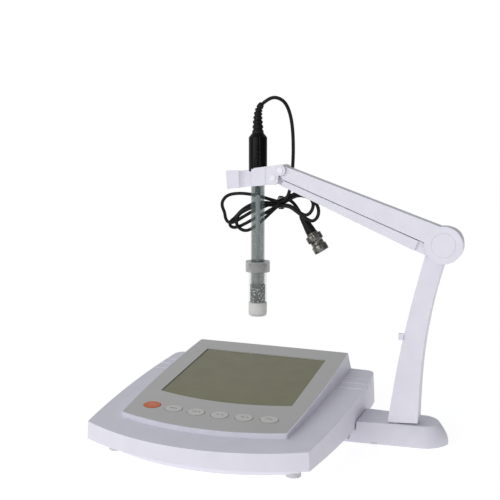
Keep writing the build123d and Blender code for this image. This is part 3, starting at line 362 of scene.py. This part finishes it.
THIRD_LEFT = [
    (32.0, 34.2, 198.8), (23.6, 32.4, 201.0), (13.0, 31.6, 201.6), (3.0, 31.2, 199.8), (-6.8, 31.6, 194.0),
    (-13.4, 32.8, 186.8), (-19.0, 34.0, 183.0), (-19.0, 35.0, 178.2), (-13.0, 35.2, 177.6),
    (-4.0, 35.2, 181.8), (5.4, 35.2, 187.2), (16.0, 35.2, 192.6), (26.0, 35.2, 198.6),
]
TAIL = [
    (35.6, 36.4, 204.8), (39.2, 40.6, 201.2), (42.5, 43.0, 195.8), (45.6, 43.0, 190.8),
]
route = LEAD + FIRST_LEFT + FIRST_RIGHT + SECOND_LEFT + SECOND_RIGHT + THIRD_LEFT + TAIL

curve = bpy.data.curves.new("electrode_cable", "CURVE")
curve.dimensions = "3D"
curve.bevel_depth = CABLE_D / 2
curve.bevel_resolution = 4
curve.use_fill_caps = True
spline = curve.splines.new("NURBS")
spline.points.add(len(route) - 1)
for point, place in zip(spline.points, route):
    point.co = (*at(*place), 1.0)
spline.order_u = 3
spline.use_endpoint_u = True
spline.resolution_u = 6
cable = bpy.data.objects.new("electrode_cable", curve)
scene.collection.objects.link(cable)
paint(cable, cable_black)
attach(cable, "electrode_group")
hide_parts("cable_lead", "cable_hank", "cable_tail")

# Twist tie round the knot: three turns of wire.
TIE_LOW, TIE_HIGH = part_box("cable_tie")
tie_mid = (TIE_LOW + TIE_HIGH) / 2
tie_y, tie_z = 6.1 * MM, 5.6 * MM
TIE_TURNS, TIE_PITCH, TIE_WIRE = 3, 1.2 * MM, 0.45 * MM
tie_curve = bpy.data.curves.new("bundle_tie", "CURVE")
tie_curve.dimensions = "3D"
tie_curve.bevel_depth = TIE_WIRE
tie_spline = tie_curve.splines.new("NURBS")
tie_places = []
for step in range(TIE_TURNS * 16 + 1):
    turn = step / 16
    angle = turn * 2 * math.pi
    offset = Vector(((turn - TIE_TURNS / 2) * TIE_PITCH, tie_y * math.cos(angle), tie_z * math.sin(angle)))
    tie_places.append(tie_mid + offset)
tie_spline.points.add(len(tie_places) - 1)
for point, place in zip(tie_spline.points, tie_places):
    point.co = (*place, 1.0)
tie_spline.order_u = 3
tie_spline.use_endpoint_u = True
bundle_tie = bpy.data.objects.new("bundle_tie", tie_curve)
scene.collection.objects.link(bundle_tie)
paint(bundle_tie, cable_black)
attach(bundle_tie, "electrode_group")
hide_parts("cable_tie")

# ---- ribbed boot on the electrode cap ----
cap_low, cap_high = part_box("electrode_cap")
boot_start = Vector(((cap_low.x + cap_high.x) / 2, (cap_low.y + cap_high.y) / 2, cap_high.z))
boot_end = at(*BOOT_TOP)
lead_way = (at(*LEAD[1]) - boot_end).normalized()
boot_reach = (boot_end - boot_start).length
BOOT_RIBS, BOOT_STEPS = 6, 60
BOOT_ROOT_R, BOOT_TIP_R, RIB_DEPTH = 5.0, 2.5, 0.75
bend = [
    boot_start,
    boot_start + Vector((0, 0, 1)) * boot_reach * 0.45,
    boot_end - lead_way * boot_reach * 0.25,
    boot_end,
]


def bend_point(t):
    """A point along the boot's bend."""
    weights = ((1 - t) ** 3, 3 * t * (1 - t) ** 2, 3 * t * t * (1 - t), t**3)
    return sum((place * weight for place, weight in zip(bend, weights)), Vector((0, 0, 0)))


boot_rings = []
for step in range(BOOT_STEPS + 1):
    t = step / BOOT_STEPS
    along = (bend_point(min(1.0, t + 0.01)) - bend_point(max(0.0, t - 0.01))).normalized()
    radius = BOOT_ROOT_R + (BOOT_TIP_R - BOOT_ROOT_R) * t
    ribbed = 0.06 < t < 0.84
    groove = RIB_DEPTH if ribbed and (t * BOOT_RIBS * 1.25) % 1.0 > 0.55 else 0.0
    boot_rings.append(ring_points(bend_point(t), along, (radius - groove) * MM))
boot_skin = rings_mesh(boot_rings)
cable_boot = mesh_piece("cable_boot", boot_skin, boot_black, "electrode_group", False)
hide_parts("strain_relief")

# ---- bayonet plug ----
plug_start = at(*TAIL[-1])
plug_axis = (at(*TAIL[-1]) - at(*TAIL[-2])).normalized()
plug_boot = turned(
    "plug_sleeve", plug_start, plug_axis,
    [(-0.2, 1.7), (0.2, 1.9), (1.0, 2.6), (4.0, 3.2), (10.0, 3.9), (16.0, 4.6), (18.6, 4.7), (19.0, 4.5)],
    boot_black, "electrode_group",
)
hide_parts("plug_boot")
KNURLS = 20


def knurl(angle):
    """Ribs of the plug's grip."""
    return 0.28 * MM * (1 if math.cos(KNURLS * angle) > 0 else -1)


plug_ring = turned(
    "plug_collar", plug_start, plug_axis,
    [(20.6, 5.0), (20.7, 6.6), (21.2, 6.9), (26.4, 6.9), (26.9, 6.4), (27.1, 5.7), (30.9, 5.7), (31.1, 6.5),
     (31.6, 6.8), (36.9, 6.8), (37.4, 6.5), (37.4, 4.9), (22.3, 4.9), (22.3, 4.1), (20.6, 4.1)],
    nickel, "ring_group", 80, knurl, (2, 3), True,
)
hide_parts("plug_ring")

# ---- key marks ----
PANEL_TILT = math.radians(7.53)
tilt = Matrix.Rotation(PANEL_TILT, 4, "X")
MARK_T = 0.04


def key_marks(key, body, material, bars):
    """Small raised marks on a key, each as (x, v, length, width) in millimetres from its middle."""
    low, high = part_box(key)
    crown = Vector(((low.x + high.x) / 2, (low.y + high.y) / 2, 0))
    top = [v.co for v in nodes[key].data.vertices if v.co.z > (low.z + high.z) / 2]
    normal = tilt @ Vector((0, 0, 1))
    level = max(co.dot(normal) for co in top)
    crown.z = (level - crown.dot(normal)) / normal.z
    bm = bmesh.new()
    for x, v, length, width in bars:
        size = Matrix.Diagonal((length * MM, width * MM, 2 * MARK_T * MM, 1))
        place = Matrix.Translation(crown) @ tilt @ Matrix.Translation((x * MM, v * MM, 0))
        bmesh.ops.create_cube(bm, size=1.0, matrix=place @ size)
    bmesh.ops.bevel(bm, geom=bm.edges[:], offset=0.02 * MM, segments=1, affect="EDGES")
    return mesh_piece(f"{key}_mark", bm, material, body, False)


POWER_BARS = [
    (-2.6, 1.2, 1.5, 0.5), (0.0, 1.2, 1.9, 0.5), (2.4, 1.2, 1.3, 0.5),
    (-2.0, -1.0, 2.4, 0.5), (1.6, -1.0, 2.6, 0.5),
]
key_marks("key_power", "power_key", mark_light, POWER_BARS)
key_marks("key_1", "key_one", mark_dark, [(-2.0, 0, 2.6, 0.8), (1.4, 0, 2.6, 0.8)])
key_marks("key_2", "key_two", mark_dark, [(-3.0, 0, 1.2, 0.8), (-0.6, 0, 2.2, 0.8), (2.6, 0, 1.6, 0.8)])
key_marks("key_3", "key_three", mark_dark, [(-1.6, 0, 2.2, 0.7), (2.2, 0.1, 1.1, 1.2)])
key_marks("key_4", "key_four", mark_dark, [(-1.4, 0, 2.6, 0.8), (2.4, 0.1, 0.9, 1.2)])
key_marks("key_5", "key_five", mark_dark, [(-1.6, 0, 1.6, 0.7), (1.0, 0, 2.8, 0.7)])

# ---- solid foot of the vial ----
vial_low, vial_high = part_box("storage_vial")
vial_axis_point = Vector(((vial_low.x + vial_high.x) / 2, (vial_low.y + vial_high.y) / 2, vial_low.z))
turned(
    "vial_foot", vial_axis_point, Vector((0, 0, 1)),
    [(0.2, 5.6), (0.6, 6.8), (1.6, 7.7), (3.0, 8.1), (11.0, 8.1), (12.1, 7.6)],
    vial_foot_grey, "vial_group",
)

# ---- sealing ring inside the vial's collar ----
collar_low, collar_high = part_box("vial_cap")
ring_centre = Vector(((collar_low.x + collar_high.x) / 2, (collar_low.y + collar_high.y) / 2, 0))
SEAL_R, SEAL_WIRE, SEAL_SIDES = 7.2 * MM, 1.0 * MM, 16
seal_z = collar_high.z - 3.4 * MM
seal_bm = bmesh.new()
seal_loops = []
for index in range(48):
    angle = 2 * math.pi * index / 48
    out = Vector((math.cos(angle), math.sin(angle), 0))
    centre = ring_centre + out * SEAL_R + Vector((0, 0, seal_z))
    loop = []
    for side in range(SEAL_SIDES):
        tilt_angle = 2 * math.pi * side / SEAL_SIDES
        offset = out * (SEAL_WIRE * math.cos(tilt_angle)) + Vector((0, 0, SEAL_WIRE * math.sin(tilt_angle)))
        loop.append(seal_bm.verts.new(centre + offset))
    seal_loops.append(loop)
for index, loop in enumerate(seal_loops):
    follow = seal_loops[(index + 1) % len(seal_loops)]
    for side in range(SEAL_SIDES):
        after = (side + 1) % SEAL_SIDES
        seal_bm.faces.new((loop[side], loop[after], follow[after], follow[side]))
mesh_piece("collar_seal", seal_bm, seal_black, "vial_group")

# ---- stage: pale floor, white surroundings brighter on the left, and soft lights ----
floor_mesh = bpy.data.meshes.new("floor")
FLOOR_HALF = 6.0
floor_mesh.from_pydata(
    [(-FLOOR_HALF, -FLOOR_HALF, 0), (FLOOR_HALF, -FLOOR_HALF, 0), (FLOOR_HALF, FLOOR_HALF, 0),
     (-FLOOR_HALF, FLOOR_HALF, 0)], [], [(0, 1, 2, 3)]
)
floor = bpy.data.objects.new("floor", floor_mesh)
floor.location.z = -0.0002
scene.collection.objects.link(floor)
floor_material, _, floor_shader = new_material("floor_pale")
floor_shader.inputs["Base Color"].default_value = (0.35, 0.35, 0.35, 1)
floor_shader.inputs["Roughness"].default_value = 1.0
floor_shader.inputs["Emission Color"].default_value = (1, 1, 1, 1)
floor_shader.inputs["Emission Strength"].default_value = 0.80
floor.data.materials.append(floor_material)

world = bpy.data.worlds.new("studio")
world.use_nodes = True
scene.world = world
world_tree = world.node_tree
backdrop = world_tree.nodes["Background"]
backdrop.inputs["Color"].default_value = (1, 1, 1, 1)
backdrop.inputs["Strength"].default_value = 1.0
room = world_tree.nodes.new("ShaderNodeBackground")
room.inputs["Color"].default_value = (0.97, 0.98, 1.0, 1)
ROOM_LEFT, ROOM_RIGHT = 0.85, 0.18
where = world_tree.nodes.new("ShaderNodeTexCoord")
split = world_tree.nodes.new("ShaderNodeSeparateXYZ")
fall = world_tree.nodes.new("ShaderNodeMapRange")
fall.inputs["From Min"].default_value = -1.0
fall.inputs["From Max"].default_value = 1.0
fall.inputs["To Min"].default_value = ROOM_LEFT
fall.inputs["To Max"].default_value = ROOM_RIGHT
world_tree.links.new(where.outputs["Generated"], split.inputs[0])
world_tree.links.new(split.outputs["X"], fall.inputs["Value"])
world_tree.links.new(fall.outputs["Result"], room.inputs["Strength"])
rays = world_tree.nodes.new("ShaderNodeLightPath")
mix = world_tree.nodes.new("ShaderNodeMixShader")
world_tree.links.new(rays.outputs["Is Camera Ray"], mix.inputs[0])
world_tree.links.new(room.outputs[0], mix.inputs[1])
world_tree.links.new(backdrop.outputs[0], mix.inputs[2])
world_tree.links.new(mix.outputs[0], world_tree.nodes["World Output"].inputs["Surface"])


def area_light(name, place, target, width, height, power):
    """A soft panel light that faces the target."""
    data = bpy.data.lights.new(name, "AREA")
    data.shape = "RECTANGLE"
    data.size = width
    data.size_y = height
    data.energy = power
    light = bpy.data.objects.new(name, data)
    light.location = place
    light.rotation_euler = (Vector(target) - Vector(place)).to_track_quat("-Z", "Y").to_euler()
    scene.collection.objects.link(light)


MIDDLE = (0.0, 0.0, 0.12)
area_light("key_light", (-0.9, -1.9, 0.75), MIDDLE, 1.4, 1.2, 12.0)
electrode_mid = ring_centre + Vector((0, 0, 0.2))
to_camera = (camera.location - electrode_mid).normalized()
STRIPS = ((-24.0, 0.035), (14.0, 0.035))
for number, (turn, width) in enumerate(STRIPS):
    way = Matrix.Rotation(math.radians(-turn), 4, "Z") @ Vector((to_camera.x, to_camera.y, 0)).normalized()
    area_light(f"strip_light_{number}", electrode_mid + way * 1.1, electrode_mid, width, 0.9, 0.8)
